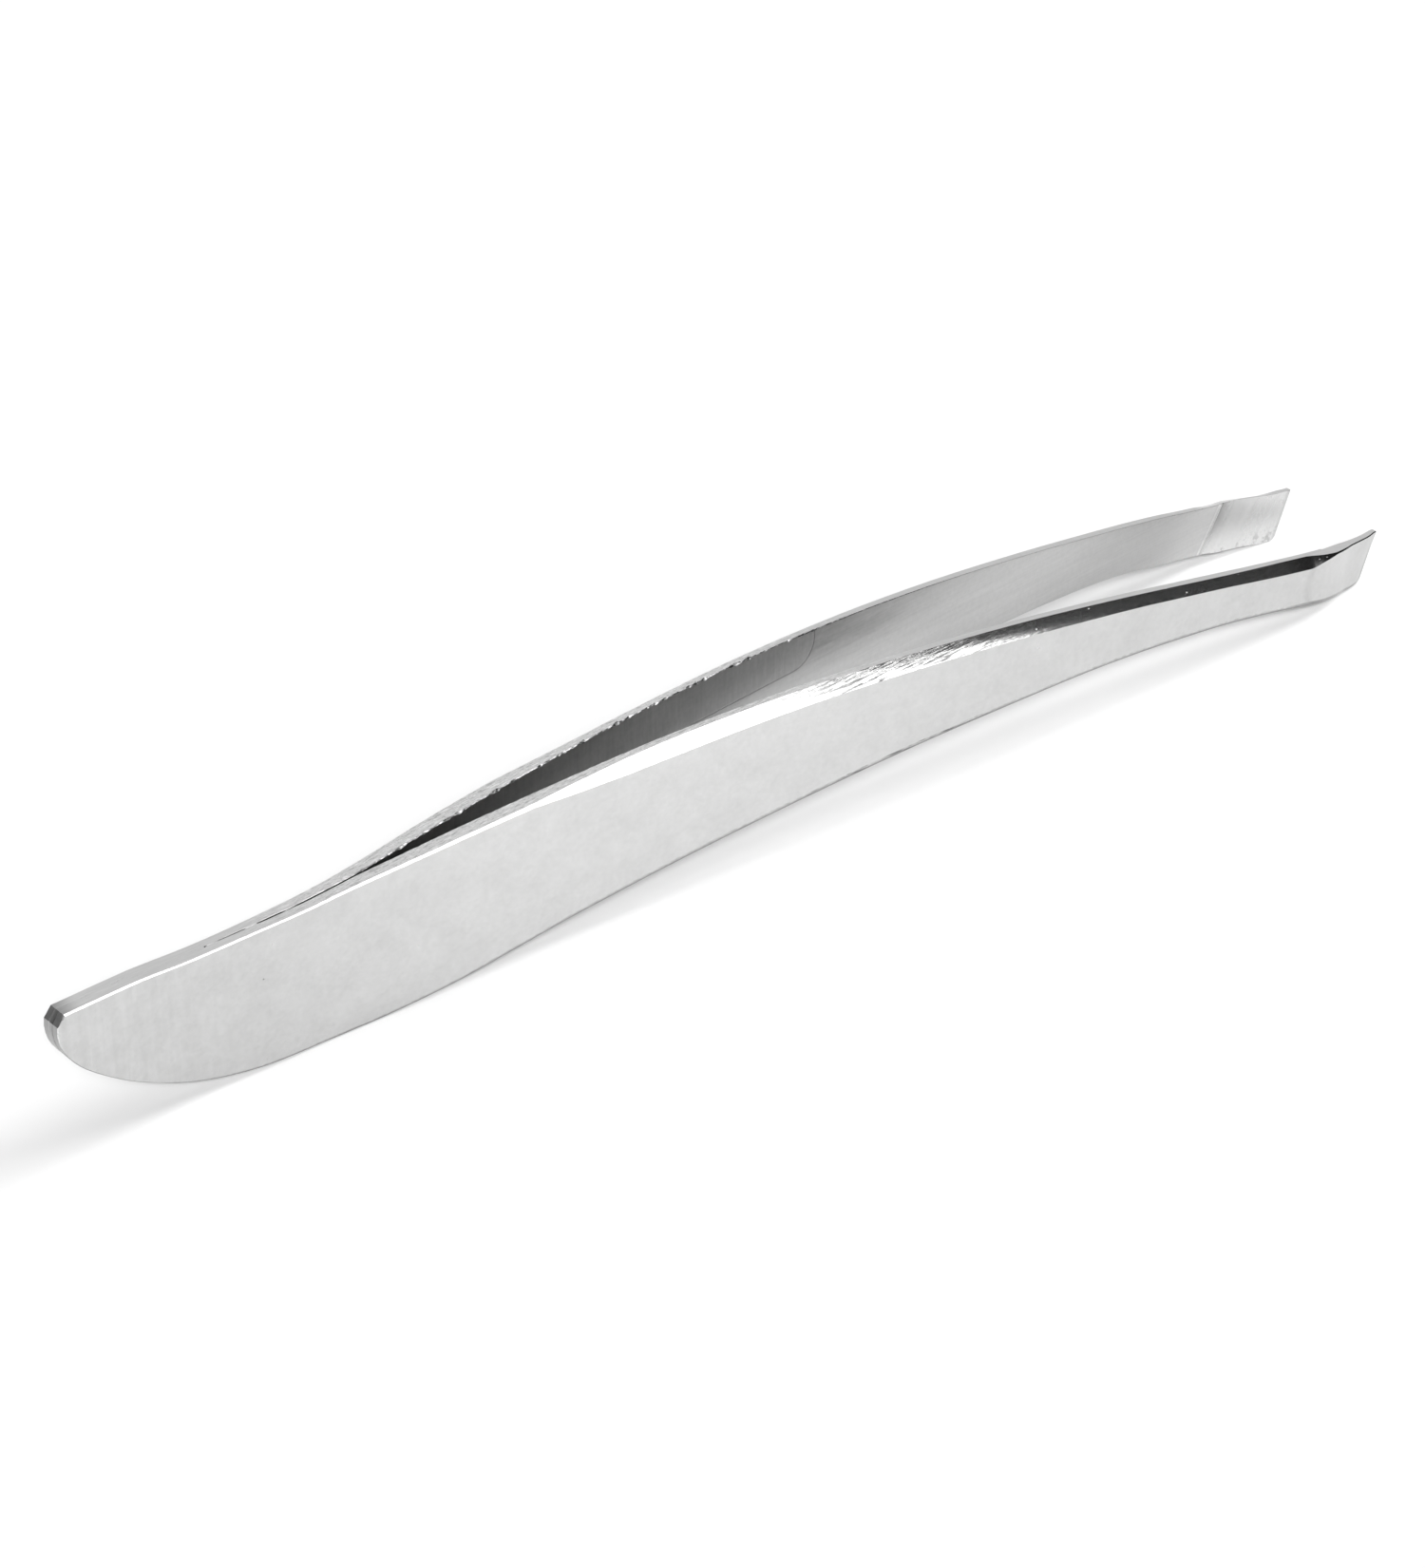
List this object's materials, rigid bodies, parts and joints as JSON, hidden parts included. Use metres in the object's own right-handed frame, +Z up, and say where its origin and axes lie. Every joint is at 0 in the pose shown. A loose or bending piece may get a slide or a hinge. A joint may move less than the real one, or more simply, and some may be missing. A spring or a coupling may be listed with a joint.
{
  "type": "slant tweezers",
  "caption": "Slant tweezers: mirrored sprung steel arms welded at a rounded flat tail, bevelled outer edges, and bent-in, hollow-ground tips with slanted gripping edges.",
  "frame": {"origin": "on the surface that the tweezers stand on, at mid length, on the plane between the arms", "axes": "+X from the butt to the tips, +Y to the far arm, which is also the way the arms open, +Z up across the width of the arms"},
  "size_m": [0.097, 0.0104, 0.0101],
  "materials": {
    "arm_steel": "satin ground stainless steel with polished outer faces",
    "weld_steel": "weld ground flush and brushed"
  },
  "bodies": {
    "tail": {"near_arm_tail": "arm_steel", "far_arm_tail": "arm_steel", "butt_weld": "weld_steel"},
    "near_arm": {"near_arm_blade": "arm_steel"},
    "far_arm": {"far_arm_blade": "arm_steel"}
  },
  "joints": [
    {"name": "near_arm_flex", "type": "hinge", "parent": "tail", "child": "near_arm", "pos_m": [-0.0264, -0.00023, 0.0048], "axis": [0, 0, 1], "range_deg": [0, 2.6], "stiffness_Nm_per_rad": 1.5},
    {"name": "far_arm_flex", "type": "hinge", "parent": "tail", "child": "far_arm", "pos_m": [-0.0264, 0.00023, 0.0048], "axis": [0, 0, 1], "range_deg": [-2.6, 0], "stiffness_Nm_per_rad": 1.5}
  ],
  "couplings": [
    {"joint": "far_arm_flex", "follows": "near_arm_flex", "ratio": -1}
  ]
}
